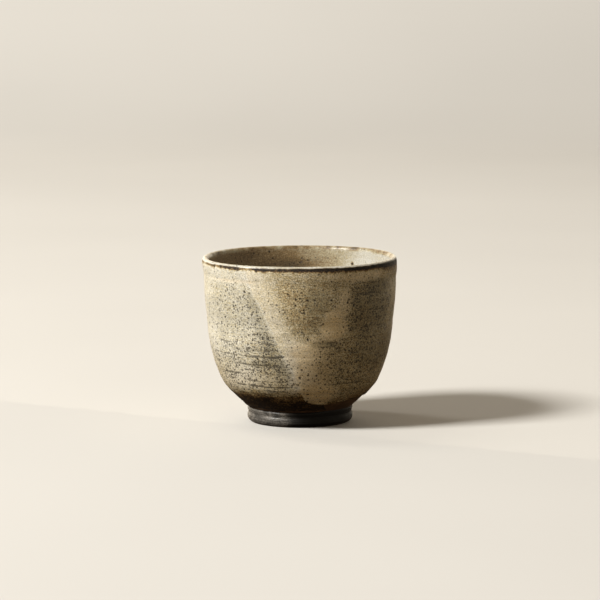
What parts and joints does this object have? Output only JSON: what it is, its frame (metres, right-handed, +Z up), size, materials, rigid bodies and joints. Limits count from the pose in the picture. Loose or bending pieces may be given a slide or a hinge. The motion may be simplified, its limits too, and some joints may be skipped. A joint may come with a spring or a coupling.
{
  "type": "matcha bowl",
  "caption": "Deep hand-thrown stoneware matcha bowl with a turned foot ring, brushed white slip, a glazed inside, and outer glaze dips that overlap along a slanting band.",
  "frame": {"origin": "on the ground, under the middle of the foot ring", "axes": "+Z up along the bowl's axis, -Y to the front, where the two glaze dips overlap"},
  "size_m": [0.105, 0.105, 0.0895],
  "materials": {
    "stoneware_clay": "iron-bearing stoneware, fired, matte to satin",
    "foot_clay": "iron-rich stoneware, turned and burnished, satin",
    "white_slip": "brushed white slip, matte",
    "liner_glaze": "cream ash glaze over slip, semi-gloss",
    "first_dip_glaze": "cream to grey-green ash glaze with iron specks, satin",
    "second_dip_glaze": "warm tan ash glaze, broken by grey-green patches and iron specks, satin"
  },
  "bodies": {
    "root": {"clay_body": "stoneware_clay", "foot_ring": "foot_clay", "slip_outside": "white_slip", "slip_inside": "white_slip", "liner_glaze": "liner_glaze", "first_dip_glaze": "first_dip_glaze", "second_dip_glaze": "second_dip_glaze"}
  },
  "joints": []
}
